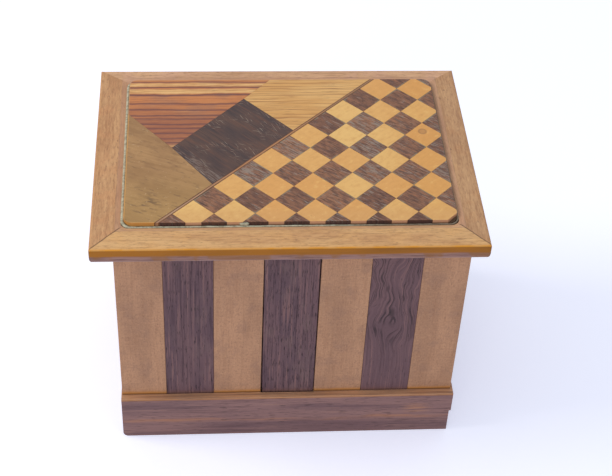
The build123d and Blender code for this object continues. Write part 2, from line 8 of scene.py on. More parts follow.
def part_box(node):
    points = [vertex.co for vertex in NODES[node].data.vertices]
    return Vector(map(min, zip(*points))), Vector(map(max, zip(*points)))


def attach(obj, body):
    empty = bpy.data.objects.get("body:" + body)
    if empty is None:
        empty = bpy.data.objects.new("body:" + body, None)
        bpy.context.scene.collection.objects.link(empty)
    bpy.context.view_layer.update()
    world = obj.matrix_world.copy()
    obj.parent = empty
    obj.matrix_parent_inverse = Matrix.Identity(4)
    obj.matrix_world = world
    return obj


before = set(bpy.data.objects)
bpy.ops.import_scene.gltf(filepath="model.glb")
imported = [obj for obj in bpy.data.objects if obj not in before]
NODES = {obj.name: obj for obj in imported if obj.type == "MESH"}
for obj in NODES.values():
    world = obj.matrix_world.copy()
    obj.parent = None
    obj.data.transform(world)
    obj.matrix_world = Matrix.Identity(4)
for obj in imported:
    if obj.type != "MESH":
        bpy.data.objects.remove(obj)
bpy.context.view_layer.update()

# Parquetry puzzle box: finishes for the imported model, two small extra pieces, floor, light, camera.
# Metres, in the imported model's frame. Millimetres are written as such and go through MM.

MM = 0.001


def box_mm(node):
    """Low and high corner of a piece's box, in millimetres."""
    low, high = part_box(node)
    return [value / MM for value in low], [value / MM for value in high]


(_, LID_Y0, LID_Z0), (LID_X1, _, LID_TOP) = box_mm("lid_frame_front")
LID_Y1 = box_mm("lid_frame_back")[1][1]
LEDGE_Z = box_mm("plinth_front")[1][2]
PANEL_TOP = box_mm("dark_veneer")[1][2]
VENEER_X0, VENEER_Y0 = box_mm("olive_veneer")[0][:2]
VENEER_X1 = box_mm("light_squares")[1][0]
VENEER_Y1 = box_mm("striped_veneer")[1][1]


def add_object(name, data):
    made = bpy.data.objects.new(name, data)
    bpy.context.scene.collection.objects.link(made)
    return made


def shade(red, green, blue):
    """A colour as it looks on screen, 0 to 255, turned into light."""

    def light(value):
        part = value / 255
        return part / 12.92 if part <= 0.04045 else ((part + 0.055) / 1.055) ** 2.4

    return (light(red), light(green), light(blue), 1.0)


# ---- finishes ----
class Reading:
    """A socket of a finish that sums can be written with."""

    def __init__(self, finish, socket):
        self.finish = finish
        self.socket = socket

    def sum(self, operation, *terms):
        return self.finish.node("ShaderNodeMath", {"operation": operation}, dict(enumerate(terms)))

    def __add__(self, other):
        return self.sum("ADD", self, other)

    __radd__ = __add__

    def __sub__(self, other):
        return self.sum("SUBTRACT", self, other)

    def __rsub__(self, other):
        return self.sum("SUBTRACT", other, self)

    def __mul__(self, other):
        return self.sum("MULTIPLY", self, other)

    __rmul__ = __mul__

    def __abs__(self):
        return self.sum("ABSOLUTE", self)

    def __floor__(self):
        return self.sum("FLOOR", self)


class Finish:
    """One material. Patterns are laid out in millimetres of the box itself."""

    def __init__(self, name):
        self.material = bpy.data.materials.new(name)
        self.material.use_nodes = True
        self.tree = self.material.node_tree
        self.tree.nodes.clear()
        self.place = self.node("ShaderNodeTexCoord", output="Object")
        self.x, self.y, self.z = self.parts(self.place, 1 / MM)

    def node(self, kind, settings=None, sockets=None, output=0):
        made = self.tree.nodes.new(kind)
        for name, value in (settings or {}).items():
            setattr(made, name, value)
        for key, value in (sockets or {}).items():
            if isinstance(value, Reading):
                self.tree.links.new(value.socket, made.inputs[key])
            else:
                made.inputs[key].default_value = value
        return Reading(self, made.outputs[output]) if made.outputs else None

    def parts(self, vector, scale=1.0):
        split = self.node("ShaderNodeSeparateXYZ", {}, {0: vector})
        sockets = [Reading(self, socket) for socket in split.socket.node.outputs]
        return [part * scale for part in sockets]

    def vector(self, x, y, z=0.0):
        return self.node("ShaderNodeCombineXYZ", {}, {0: x, 1: y, 2: z})

    def cloud(self, size, turn=0.0, centre=(0, 0, 0), detail=2.0, rough=0.5, warp=0.0, at=None):
        """Soft noise whose lumps are about size millimetres, turned about the vertical."""
        laid = self.node(
            "ShaderNodeMapping",
            {"vector_type": "TEXTURE"},
            {
                "Vector": at or self.place,
                "Location": [value * MM for value in centre],
                "Rotation": (0.0, 0.0, math.radians(turn)),
                "Scale": [value * MM for value in size],
            },
        )
        return self.node(
            "ShaderNodeTexNoise",
            {},
            {"Vector": laid, "Scale": 1.0, "Detail": detail, "Roughness": rough, "Distortion": warp},
        )

    def between(self, value, low, high):
        """0 below low, 1 above high, smooth in the middle."""
        return self.node(
            "ShaderNodeMapRange",
            {"interpolation_type": "SMOOTHSTEP"},
            {"Value": value, "From Min": low, "From Max": high},
        )

    def near(self, value, middle, reach):
        """1 at middle, falling to 0 at reach away from it."""
        return self.between(abs(value - middle), reach, 0.0)

    def most(self, first, *others):
        """The largest of several readings."""
        for other in others:
            first = first.sum("MAXIMUM", first, other)
        return first

    def least(self, first, second):
        """The smaller of two readings."""
        return first.sum("MINIMUM", first, second)

    def mix(self, share, first, second):
        """first where share is 0, second where it is 1."""
        return self.node(
            "ShaderNodeMix",
            {"data_type": "RGBA"},
            {0: share, 6: first, 7: second},
            output=2,
        )

    def polish(self, colour, roughness, height, depth=0.08, coat=0.0, metallic=0.0):
        """Ends the finish: colour, roughness and a relief of depth millimetres."""
        relief = self.node(
            "ShaderNodeBump", {}, {"Strength": 1.0, "Distance": depth * MM, "Height": height})
        surface = self.node(
            "ShaderNodeBsdfPrincipled",
            {},
            {
                "Base Color": colour, "Roughness": roughness, "Normal": relief,
                "Coat Weight": coat, "Coat Roughness": 0.3, "Metallic": metallic,
                "Specular IOR Level": 0.3,
            },
        )
        self.node("ShaderNodeOutputMaterial", {}, {"Surface": surface})
        return self.material


def along(axis, length, width):
    """Size of a noise lump that lies along x or y."""
    return {"x": (length, width, width), "y": (width, length, width)}[axis]


# ---- lid rails ----
GAPS = (-1.0, 0.6, -1.1, 0.7)      # open line round the veneers: left, right, front, back
VENEER_EDGES = (VENEER_X0, VENEER_X1, VENEER_Y0, VENEER_Y1)
OPENING = [edge + gap for edge, gap in zip(VENEER_EDGES, GAPS)]      # between the rails
BEVEL_W = 1.9


def rail_bevel(f):
    """1 on the shallow bevel beside the panel, and 1 on its upper edge line."""
    out_x = f.most(OPENING[0] - f.x, f.x - OPENING[1])
    out_y = f.most(OPENING[2] - f.y, f.y - OPENING[3])
    outside = f.most(out_x, out_y)
    return f.between(outside, BEVEL_W + 0.15, BEVEL_W - 0.15), f.near(outside, BEVEL_W, 0.4)


def mitre_line(f):
    """1 in the open mitres at the two front corners."""
    wander = (f.cloud((5, 5, 5), centre=(6, 2, 0), detail=1) - 0.5) * 0.9
    lines = []
    for side, inner in ((-1, OPENING[0]), (1, OPENING[1])):
        run = (inner - side * LID_X1) * (1 / (OPENING[2] - LID_Y0))
        lines.append(abs((f.x - side * LID_X1) - (f.y - LID_Y0) * run + wander))
    return f.between(f.least(*lines), 0.42, 0.12) * f.between(f.y, OPENING[2] + 0.6, OPENING[2] - 0.4)


def rail_finish(name, axis, pale, deep, sheen):
    f = Finish(name)
    tone = f.cloud(along(axis, 34, 6), detail=3)
    patches = f.cloud((7, 7, 7), centre=(5, 1, 2), detail=3)
    streaks = f.cloud(along(axis, 10, 0.8), detail=4, rough=0.65)
    flecks = f.between(f.cloud(along(axis, 2.2, 0.4), centre=(3, 7, 1), detail=2), 0.62, 0.74)
    specks = f.between(f.cloud(along(axis, 2.6, 1.0), centre=(9, 2, 5), detail=1), 0.72, 0.79)
    wood = f.mix(f.between(tone, 0.35, 0.68), shade(*pale), shade(*deep))
    grain = f.cloud(along(axis, 2.6, 0.55), centre=(1, 4, 8), detail=3, rough=0.65)
    wood = f.mix(f.between(patches, 0.46, 0.66) * 0.5, wood, shade(*sheen))
    wood = f.mix(f.between(streaks, 0.48, 0.7) * 0.45, wood, shade(152, 104, 66))
    wood = f.mix(f.between(streaks, 0.48, 0.28) * 0.35, wood, shade(228, 182, 128))
    wood = f.mix(f.between(grain, 0.5, 0.68) * 0.45, wood, shade(150, 106, 74))
    wood = f.mix(f.between(grain, 0.46, 0.3) * 0.3, wood, shade(230, 186, 134))
    wood = f.mix(flecks * 0.5, wood, shade(122, 84, 60))
    wood = f.mix(specks * 0.45, wood, shade(104, 74, 58))
    bevel, bevel_line = rail_bevel(f)
    wood = f.mix(bevel * 0.42, wood, shade(200, 154, 128))
    wood = f.mix(bevel_line * f.between(patches, 0.4, 0.6) * 0.35, wood, shade(138, 112, 88))
    wood = f.mix(mitre_line(f) * 0.7, wood, shade(96, 66, 40))
    # outer face: a painted golden highlight along the arris, darker on the sides and back; ochre under it,
    # bare and rosy below
    front = f.between(f.y, LID_Y0 + 2.0, LID_Y0 + 1.0)
    outside = f.most(
        f.between(abs(f.x), LID_X1 - 1.6, LID_X1 - 0.9), f.between(abs(f.y), LID_Y1 - 1.6, LID_Y1 - 0.9))
    height = f.z + (f.cloud((14, 14, 5), detail=2) - 0.5) * 0.9
    arris_highlight = f.near(f.z, LID_TOP - 0.42, 0.5) * outside
    under_arris = f.between(f.z, LID_TOP - 0.35, LID_TOP - 0.75)
    ochre = f.between(height, LID_TOP - 3.9, LID_TOP - 3.0) * under_arris * outside
    bare = f.mix(f.between(streaks, 0.35, 0.7), shade(164, 124, 116), shade(124, 90, 84))
    bare = f.mix(f.between(patches, 0.48, 0.6) * 0.6, bare, shade(150, 98, 46))
    wood = f.mix(f.between(f.z, LID_TOP - 0.6, LID_TOP - 1.2) * outside, wood, bare)
    strength = 0.45 + 0.55 * front
    dark_gold = f.mix(f.between(tone, 0.3, 0.7), shade(172, 106, 0), shade(148, 90, 0))
    wood = f.mix(ochre * strength, wood, dark_gold)
    highlight_colour = f.mix(f.between(patches, 0.42, 0.58), shade(228, 152, 30), shade(224, 160, 76))
    # painted highlight on the arris, strongest at the front
    wood = f.mix(arris_highlight * (0.25 + 0.7 * front), wood, highlight_colour)
    # painted highlight on the sides and back, in a darker tone
    wood = f.mix(arris_highlight * (1.0 - front) * 0.5, wood, shade(168, 108, 58))
    lip = f.between(f.z, LID_Z0 + 0.9, LID_Z0 + 0.3)
    wood = f.mix(lip * outside * 0.55, wood, shade(190, 166, 176))
    gloss = 0.5 - 0.16 * ochre + 0.12 * streaks
    relief = streaks * 0.5 - flecks * 0.5 - specks * 0.5 - mitre_line(f) * 1.5
    return f.polish(wood, gloss, relief, 0.09, coat=0.1)


# ---- panel ----
def panel_edge_highlight(f, reach=0.35):
    """1 in a thin line along the panel's outer edge, where a highlight is painted on the rounded edge."""
    left = f.between(f.x, VENEER_X0 + reach, VENEER_X0 + 0.05)
    right = f.between(f.x, VENEER_X1 - reach, VENEER_X1 - 0.05)
    front = f.between(f.y, VENEER_Y0 + reach, VENEER_Y0 + 0.05)
    back = f.between(f.y, VENEER_Y1 - reach, VENEER_Y1 - 0.05)
    return f.most(left, right, front, back)


EDGE_DEPTH = 0.06


def sawn_edge(f):
    """1 on the upright edges of the veneers."""
    return f.between(f.z, PANEL_TOP - EDGE_DEPTH / 2, PANEL_TOP - EDGE_DEPTH)


STRIPES = (       # dark lines of the striped veneer: millimetres from its back edge, half width, strength
    (1.6, 0.5, 0.75), (4.8, 0.5, 0.95), (9.5, 0.6, 1.0), (14.9, 0.55, 0.9), (18.7, 0.5, 0.95),
    (22.2, 0.5, 0.9), (24.2, 0.45, 0.85), (27.2, 0.5, 0.9), (29.7, 0.5, 0.85), (32.6, 0.5, 0.9),
    (35.5, 0.45, 0.8), (37.9, 0.45, 0.8),
)


def striped_finish():
    f = Finish("striped_veneer")
    wave = (f.cloud((20, 9, 9), detail=2) - 0.5) * 1.6 + (f.cloud((4, 4, 4), detail=2) - 0.5) * 0.7
    depth = VENEER_Y1 - f.y + wave
    fine = f.cloud(along("x", 14, 0.45), detail=4, rough=0.65)
    dashes = f.cloud(along("x", 5, 0.35), centre=(2, 8, 0), detail=2)
    tone = f.cloud((14, 6, 6), centre=(4, 1, 0), detail=2)
    wood = f.mix(f.between(depth, 9.0, 30.0), shade(204, 130, 76), shade(164, 100, 68))
    wood = f.mix(f.between(tone, 0.46, 0.7) * 0.6, wood, shade(164, 114, 86))
    # two pale streaky bands at the back, and a pale line near the front tip
    band = f.most(f.near(depth, 3.2, 1.7), f.between(depth, 5.6, 6.3) * f.between(depth, 8.9, 7.9))
    ivory = f.mix(f.between(fine, 0.44, 0.62), shade(238, 194, 130), shade(206, 144, 78))
    wood = f.mix(f.most(band, f.near(depth, 39.6, 0.8) * 0.7) * 0.9, wood, ivory)
    wood = f.mix(f.between(depth, 0.9, 0.2) * 0.6, wood, shade(204, 146, 96))
    wood = f.mix(f.between(fine, 0.5, 0.68) * 0.55, wood, shade(132, 78, 62))
    wood = f.mix(f.between(fine, 0.46, 0.28) * 0.45, wood, shade(228, 160, 98))
    lines = f.most(*[f.near(depth, at, half * 1.7) * strength for at, half, strength in STRIPES])
    wood = f.mix(f.most(f.between(dashes, 0.6, 0.7) * 0.35, lines * 0.86), wood, shade(94, 56, 62))
    # painted highlight along the panel's edge
    wood = f.mix(panel_edge_highlight(f) * 0.5, wood, shade(214, 168, 116))
    wood = f.mix(sawn_edge(f) * 0.6, wood, shade(176, 120, 84))
    return f.polish(wood, 0.4 + 0.2 * fine, fine - lines * 0.6, 0.05, coat=0.12)


def pale_finish():
    f = Finish("pale_veneer")
    wave = (f.cloud((26, 9, 9), detail=2) - 0.5) * 3.0
    at = f.vector(f.x * MM, (f.y + wave) * MM, f.z * MM)
    line = f.cloud(along("x", 60, 0.85), at=at, detail=3, rough=0.65)
    hair = f.cloud(along("x", 30, 0.4), at=at, centre=(7, 3, 0), detail=2)
    dashes = f.cloud(along("x", 6, 0.35), at=at, centre=(5, 3, 0), detail=2)
    tone = f.cloud((26, 7, 7), detail=2)
    wood = f.mix(f.between(tone, 0.35, 0.68), shade(232, 184, 116), shade(218, 164, 96))
    wood = f.mix(f.between(line, 0.49, 0.62) * 0.7, wood, shade(166, 112, 66))
    wood = f.mix(f.between(hair, 0.54, 0.66) * 0.55, wood, shade(158, 106, 66))
    wood = f.mix(f.between(dashes, 0.6, 0.7) * 0.5, wood, shade(130, 86, 56))
    wood = f.mix(f.between(line, 0.42, 0.3) * 0.4, wood, shade(244, 206, 142))
    # painted highlight along the panel's edge
    wood = f.mix(panel_edge_highlight(f) * 0.4, wood, shade(226, 190, 140))
    wood = f.mix(sawn_edge(f) * 0.5, wood, shade(196, 146, 100))
    return f.polish(wood, 0.42 + 0.15 * line, line * -0.6 - dashes * 0.4, 0.06, coat=0.12)


DARK_TURN = -47.0        # degrees: run of the dark veneer's grain
DARK_LEFT = (VENEER_X0 + 16.2, VENEER_Y0 + 40.3)      # its left corner


def scratches(f, turn, centre, length, width, low, high):
    """Fine hairlines that bend a little."""
    bend = f.node("ShaderNodeVectorMath", {"operation": "SCALE"}, {0: f.node(
        "ShaderNodeTexNoise", {}, {"Vector": f.place, "Scale": 90.0, "Detail": 1.0}, output="Color"),
        "Scale": 3.2 * MM})
    at = f.node("ShaderNodeVectorMath", {"operation": "ADD"}, {0: f.place, 1: bend})
    hair = f.cloud((length, width, 8), turn=turn, centre=centre, detail=1, at=at)
    return f.between(hair, low, high)


def dark_finish():
    f = Finish("dark_veneer")
    tone = f.cloud((13, 6, 6), turn=DARK_TURN, detail=3)
    streaks = f.cloud((14, 0.8, 4), turn=DARK_TURN, detail=4, rough=0.65)
    wood = f.mix(f.between(tone, 0.35, 0.68), shade(88, 64, 56), shade(66, 50, 50))
    wood = f.mix(f.between(streaks, 0.5, 0.68) * 0.5, wood, shade(116, 76, 58))
    wood = f.mix(f.between(streaks, 0.46, 0.32) * 0.65, wood, shade(46, 36, 38))
    hair = scratches(f, -62, (2, 1, 0), 6, 0.26, 0.66, 0.73)
    cross = scratches(f, -12, (8, 5, 0), 5, 0.24, 0.67, 0.74)
    sparse = f.between(f.cloud((9, 9, 9), centre=(1, 8, 0), detail=1), 0.45, 0.62)
    marks = f.most(hair, cross) * sparse
    wood = f.mix(marks * 0.7, wood, shade(190, 172, 152))
    # greyed by wear towards the left corner and along the lower left side
    along_side = (f.x - DARK_LEFT[0]) + (f.y - DARK_LEFT[1])
    band = f.between(along_side + (f.cloud((4, 4, 4), detail=2) - 0.5) * 8.0, 4.6, -0.5)
    grey = f.between(f.cloud((4, 0.5, 4), turn=DARK_TURN, centre=(3, 3, 0), detail=3), 0.46, 0.62)
    wood = f.mix(band * grey * 0.5, wood, shade(146, 130, 120))
    wood = f.mix(sawn_edge(f) * 0.4, wood, shade(84, 62, 56))
    return f.polish(wood, 0.42 + 0.2 * streaks, streaks * 0.6 - marks * 0.7, 0.06, coat=0.1)


def olive_finish():
    f = Finish("olive_veneer")
    tone = f.cloud((26, 14, 9), turn=-30, detail=3, warp=0.4)
    streaks = f.cloud((20, 1.2, 4), turn=-24, detail=4, rough=0.6, warp=0.3)
    mottle = f.cloud((5, 3, 4), turn=-24, centre=(4, 4, 0), detail=4, rough=0.6)
    wood = f.mix(f.between(tone, 0.35, 0.68), shade(182, 140, 92), shade(158, 118, 76))
    wood = f.mix(f.between(mottle, 0.45, 0.66) * 0.6, wood, shade(144, 106, 68))
    wood = f.mix(f.between(streaks, 0.48, 0.72) * 0.32, wood, shade(132, 96, 56))
    wood = f.mix(f.between(streaks, 0.46, 0.3) * 0.25, wood, shade(200, 160, 104))
    # lighter and yellower towards the front and the panel's edge
    front = f.between(f.y, VENEER_Y0 + 34.0, VENEER_Y0 + 4.0)
    wood = f.mix(front * 0.5, wood, shade(172, 136, 78))
    # dark smudges near the front left corner
    spot = f.near(f.x, VENEER_X0 + 8.0, 8.0) * f.near(f.y, VENEER_Y0 + 10.0, 9.0)
    smudge = f.between(f.cloud((4.2, 1.3, 4), turn=-18, centre=(2, 6, 0), detail=3), 0.5, 0.66)
    wood = f.mix(spot * smudge * 0.75, wood, shade(96, 72, 50))
    spread = f.between(f.cloud((3.2, 1.0, 4), turn=-30, centre=(12, 6, 0), detail=2), 0.6, 0.72)
    wood = f.mix(spread * 0.5, wood, shade(116, 88, 60))
    dots = f.between(f.cloud((0.8, 0.8, 4), centre=(7, 1, 0), detail=1), 0.7, 0.78)
    wood = f.mix(dots * 0.4, wood, shade(214, 186, 146))
    # painted highlight along the panel's edge
    rim = panel_edge_highlight(f, 0.5)
    wood = f.mix(rim * 0.7, wood, shade(226, 162, 84))
    wood = f.mix(sawn_edge(f) * 0.85, wood, shade(206, 146, 76))
    return f.polish(wood, 0.42 + 0.15 * streaks, streaks * 0.5, 0.05, coat=0.15)


def stringing_core_finish():
    f = Finish("stringing_core")
    streaks = f.cloud((12, 0.5, 3), turn=45, detail=3)
    # pinkish at the front, warm brown in the middle, taupe at the back
    wood = f.mix(f.between(f.y, -34, -8), shade(182, 146, 116), shade(178, 126, 84))
    wood = f.mix(f.between(f.y, 8, 26), wood, shade(158, 118, 82))
    wood = f.mix(f.between(streaks, 0.45, 0.65) * 0.5, wood, shade(140, 92, 58))
    wood = f.mix(sawn_edge(f) * 0.5, wood, shade(176, 126, 92))
    return f.polish(wood, 0.45 + 0.1 * streaks, streaks, 0.04, coat=0.1)


def stringing_line_finish():
    f = Finish("stringing_lines")
    streaks = f.cloud((9, 0.5, 3), turn=45, detail=3)
    wood = f.mix(f.between(streaks, 0.4, 0.62), shade(94, 62, 46), shade(132, 88, 60))
    wood = f.mix(f.between(f.y, 12, 28) * 0.5, wood, shade(132, 96, 70))
    return f.polish(wood, 0.5 + 0.1 * streaks, streaks, 0.04, coat=0.1)


FIRST_LIGHT = (VENEER_X0 + 9.6, VENEER_Y0 + 4.4)      # centre of the first light square
SQUARE = 10.0
DIAGONAL = SQUARE * math.sqrt(2)
STAIN = (51.4, 10.6, PANEL_TOP)      # middle of an old round stain
SQUARE_TURN = -38.0      # degrees: run of the dark squares' grain


def square_steps(f):
    """Place along each row of the chequer, in squares: the first light one runs from 0 to 1."""
    u = (f.x - FIRST_LIGHT[0]) * (1 / DIAGONAL)
    v = (f.y - FIRST_LIGHT[1]) * (1 / DIAGONAL)
    return u + v + 0.5, u - v + 0.5


def square_number(f, seed):
    """A steady random number for each chequer square."""
    row, column = square_steps(f)
    cell = f.vector(math.floor(row), math.floor(column), seed)
    return f.node("ShaderNodeTexWhiteNoise", {"noise_dimensions": "3D"}, {"Vector": cell})


def light_square_finish():
    f = Finish("light_squares")
    pick = square_number(f, 3.0)
    other = square_number(f, 11.0)
    streaks = f.cloud((5, 1.1, 3), turn=40, detail=4, rough=0.6)
    mottle = f.cloud((2.6, 2.0, 2.2), turn=30, detail=4, rough=0.6)
    wood = f.mix(pick, shade(238, 192, 118), shade(228, 170, 98))
    wood = f.mix(f.between(other, 0.7, 0.75) * 0.6, wood, shade(224, 160, 88))
    # browner and more orange towards the right-hand edge and at the front
    edge = f.between(f.x, VENEER_X1 - 26.0, VENEER_X1 - 6.0)
    wood = f.mix(edge * 0.45, wood, shade(222, 158, 80))
    front = f.between(f.y, VENEER_Y0 + 10.0, VENEER_Y0 + 3.0)
    wood = f.mix(front * 0.5, wood, shade(216, 164, 104))
    wood = f.mix(f.between(streaks, 0.5, 0.72) * 0.22, wood, shade(202, 142, 72))
    wood = f.mix(f.between(mottle, 0.48, 0.68) * 0.34, wood, shade(210, 152, 84))
    wood = f.mix(f.between(mottle, 0.45, 0.3) * 0.3, wood, shade(246, 204, 128))
    dots = f.between(f.cloud((0.7, 0.7, 3), centre=(2, 9, 0), detail=1), 0.72, 0.8)
    wood = f.mix(dots * 0.4, wood, shade(160, 112, 66))
    # the stain's rim is darker than its middle
    from_stain = f.node("ShaderNodeVectorMath", {"operation": "DISTANCE"}, {
        0: f.place, 1: [value * MM for value in STAIN]}, output="Value") * (1 / MM)
    stain = f.between(from_stain, 1.9, 1.45)
    ring = f.near(from_stain, 1.35, 0.6)
    wood = f.mix(stain * 0.55, wood, shade(172, 122, 76))
    wood = f.mix(ring * 0.3, wood, shade(140, 96, 60))
    # painted highlight along the panel's edge
    wood = f.mix(panel_edge_highlight(f) * 0.35, wood, shade(236, 190, 130))
    side = sawn_edge(f)
    wood = f.mix(side * 0.85, wood, shade(208, 158, 128))
    wood = f.mix(side * f.between(f.z, PANEL_TOP - 0.75, PANEL_TOP - 1.2) * 0.6, wood, shade(150, 104, 76))
    return f.polish(wood, 0.4 + 0.15 * streaks, streaks * 0.6, 0.04, coat=0.15)


def dark_square_finish():
    f = Finish("dark_squares")
    pick = square_number(f, 5.0)
    worn = square_number(f, 9.0)
    streaks = f.cloud((6, 0.7, 3), turn=SQUARE_TURN, detail=5, rough=0.7, warp=0.3)
    blotch = f.cloud((3.2, 2.0, 3), turn=SQUARE_TURN, centre=(2, 5, 0), detail=3)
    lines = f.cloud((4.5, 0.42, 3), turn=SQUARE_TURN, centre=(5, 2, 0), detail=3, rough=0.6, warp=0.4)
    wood = f.mix(pick, shade(156, 110, 82), shade(124, 86, 68))
    wood = f.mix(f.between(blotch, 0.45, 0.65) * 0.5, wood, shade(88, 62, 60))
    wood = f.mix(f.between(streaks, 0.48, 0.64) * 0.75, wood, shade(76, 52, 46))
    wood = f.mix(f.between(streaks, 0.46, 0.3) * 0.65, wood, shade(186, 122, 84))
    grey = f.between(lines + (worn - 0.5) * 0.15, 0.54, 0.64)
    wood = f.mix(grey * 0.7, wood, shade(158, 146, 134))
    pores = f.between(f.cloud((2.2, 0.3, 3), turn=SQUARE_TURN, centre=(1, 7, 0), detail=1), 0.58, 0.68)
    wood = f.mix(pores * 0.65, wood, shade(54, 38, 36))
    # grey filler in some joints
    gaps = [abs(step - math.floor(step + 0.5)) for step in square_steps(f)]
    some = f.between(f.cloud((5, 5, 5), centre=(6, 6, 0), detail=2), 0.5, 0.62)
    filler = f.between(f.least(*gaps), 0.07, 0.03) * some
    wood = f.mix(filler * 0.55, wood, shade(148, 140, 118))
    wood = f.mix(sawn_edge(f) * 0.8, wood, shade(70, 48, 46))
    return f.polish(wood, 0.5 + 0.15 * streaks, streaks * 0.6 - pores * 0.5 - grey * 0.3, 0.07, coat=0.05)


def ground_finish():
    f = Finish("ground_wood")
    streaks = f.cloud(along("x", 30, 1.1), detail=4, rough=0.6)
    wood = f.mix(f.between(streaks, 0.3, 0.75), shade(190, 148, 108), shade(162, 120, 84))
    # painted shade: dark low down, where it shows in the open line and under the veneers' lost corner
    wood = f.mix(f.between(f.z, LID_Z0 + 3.2, LID_Z0 + 3.6) * 0.85, wood, shade(62, 46, 36))
    return f.polish(wood, 0.65 + 0.1 * streaks, streaks, 0.06)


# ---- staves ----
def ledge_grime(f):
    """1 in the dirt and old polish where the staves stand on the ledge."""
    wander = (f.cloud((6, 6, 2), centre=(3, 1, 2), detail=2) - 0.5) * 1.2
    return f.between(f.z + wander, LEDGE_Z + 2.3, LEDGE_Z + 0.7)


def light_stave_finish():
    f = Finish("light_wood")
    tone = f.cloud((11, 11, 38), detail=3)
    ripple = f.cloud((7, 7, 0.75), centre=(2, 4, 1), detail=2)
    streaks = f.cloud((0.8, 0.8, 14), detail=3)
    specks = f.between(f.cloud((0.45, 0.45, 1.2), centre=(1, 1, 7), detail=1), 0.64, 0.76)
    cloudy = f.cloud((5, 5, 6), centre=(8, 3, 2), detail=3)
    wood = f.mix(f.between(tone, 0.35, 0.66), shade(196, 148, 116), shade(176, 132, 104))
    wood = f.mix(f.between(streaks, 0.45, 0.68) * 0.3, wood, shade(160, 114, 86))
    wood = f.mix(f.between(ripple, 0.5, 0.7) * 0.25, wood, shade(206, 158, 124))
    wood = f.mix(f.between(cloudy, 0.5, 0.7) * 0.4, wood, shade(156, 118, 100))
    grain = f.cloud((0.55, 0.55, 1.1), centre=(4, 2, 9), detail=3, rough=0.7)
    weave = f.cloud((1.6, 1.6, 0.5), centre=(7, 7, 2), detail=2)
    wood = f.mix(f.between(grain, 0.5, 0.68) * 0.4, wood, shade(138, 98, 76))
    wood = f.mix(f.between(grain, 0.46, 0.3) * 0.3, wood, shade(220, 170, 132))
    wood = f.mix(f.between(weave, 0.52, 0.68) * 0.25, wood, shade(144, 104, 82))
    wood = f.mix(specks * 0.35, wood, shade(120, 84, 66))
    grime = ledge_grime(f)
    wood = f.mix(grime * 0.75, wood, shade(196, 132, 58))
    # painted shade: a dark band at the very foot, in the crease on the ledge
    wood = f.mix(f.between(f.z, LEDGE_Z + 0.9, LEDGE_Z + 0.3) * 0.75, wood, shade(90, 58, 34))
    return f.polish(wood, 0.5 + 0.12 * streaks, streaks * 0.4 - specks * 0.5, 0.06, coat=0.08)


def dark_wood_pattern(f, at, low, high):
    """Open-pored brown wood that stands on end, laid out at the places given."""
    tone = f.cloud((7, 7, 40), at=at, detail=3)
    streaks = f.cloud((0.6, 0.6, 24), at=at, detail=4, rough=0.6)
    pores = f.between(f.cloud((0.3, 0.3, 4.2), at=at, centre=(5, 5, 1), detail=2), low, high)
    wood = f.mix(f.between(tone, 0.35, 0.68), shade(114, 85, 91), shade(96, 72, 82))
    wood = f.mix(f.between(streaks, 0.5, 0.68) * 0.75, wood, shade(70, 48, 58))
    wood = f.mix(f.between(streaks, 0.47, 0.3) * 0.65, wood, shade(150, 110, 106))
    wood = f.mix(pores * 0.85, wood, shade(40, 28, 36))
    return wood, streaks, pores


def foot_grime_and_shade(f, wood):
    """Dark wood with grime and shade where it stands on the ledge."""
    wood = f.mix(ledge_grime(f) * 0.3, wood, shade(126, 84, 56))
    # painted shade: a dark band at the very foot, in the crease on the ledge
    return f.mix(f.between(f.z, LEDGE_Z + 0.9, LEDGE_Z + 0.3) * 0.6, wood, shade(60, 42, 36))


def dark_stave_finish(name, pore_low=0.6, dusty=0.0):
    f = Finish(name)
    wood, streaks, pores = dark_wood_pattern(f, None, pore_low, pore_low + 0.1)
    dust = f.between(f.cloud((5, 5, 9), centre=(4, 4, 4), detail=3), 0.5, 0.7)
    wood = f.mix(dust * (0.2 + dusty), wood, shade(128, 102, 100))
    wood = foot_grime_and_shade(f, wood)
    return f.polish(wood, 0.52 + 0.15 * streaks, streaks * 0.5 - pores, 0.12, coat=0.05)


KNOT = (37.6, 62.0)      # middle of the figure on the third dark stave


def knotty_stave_finish():
    f = Finish("dark_wood_knotty")
    # the grain parts smoothly round the knot and wavers more towards the top
    dx, dz = f.x - KNOT[0], f.z - KNOT[1]
    side = f.between(dx, -3.0, 3.0) * 2.0 - 1.0
    push = f.between(abs(dz), 17.0, 0.0) * f.between(abs(dx), 9.0, 0.0)
    sway = (f.cloud((12, 12, 16), centre=(3, 3, 3), detail=2) - 0.5) * 11.0
    at_x = f.x + sway * f.between(f.z, 30, 62) - side * push * 2.6
    at = f.vector(at_x * MM, f.y * MM, f.z * MM)
    wood, streaks, pores = dark_wood_pattern(f, at, 0.63, 0.73)
    wood = f.mix(0.3, wood, shade(126, 94, 98))
    lines = f.cloud((3.4, 3.4, 90), at=at, centre=(1, 2, 3), detail=1)
    drawn = f.between(f.cloud((6, 6, 14), at=at, centre=(2, 9, 4), detail=1), 0.36, 0.5)
    rings = f.most(*[f.between(abs(lines - level), 0.016, 0.004) for level in (0.38, 0.47, 0.55)])
    figure = rings * f.between(f.z, 40, 54) * drawn
    wood = f.mix(figure * 0.75, wood, shade(52, 38, 44))
    from_knot = f.node("ShaderNodeMath", {"operation": "SQRT"}, {0: dx * dx + dz * dz * 0.2})
    wood = f.mix(f.between(from_knot, 1.5, 0.3) * 0.55, wood, shade(54, 40, 44))
    wood = foot_grime_and_shade(f, wood)
    return f.polish(wood, 0.52 + 0.15 * streaks, streaks * 0.5 - pores - figure * 0.6, 0.12, coat=0.05)


# ---- plinth ----
THREAD_Z = 8.3             # height of a thin orange streak along the front and back
PATCH = (50.5, 13.0)       # middle of an orange patch near the right end


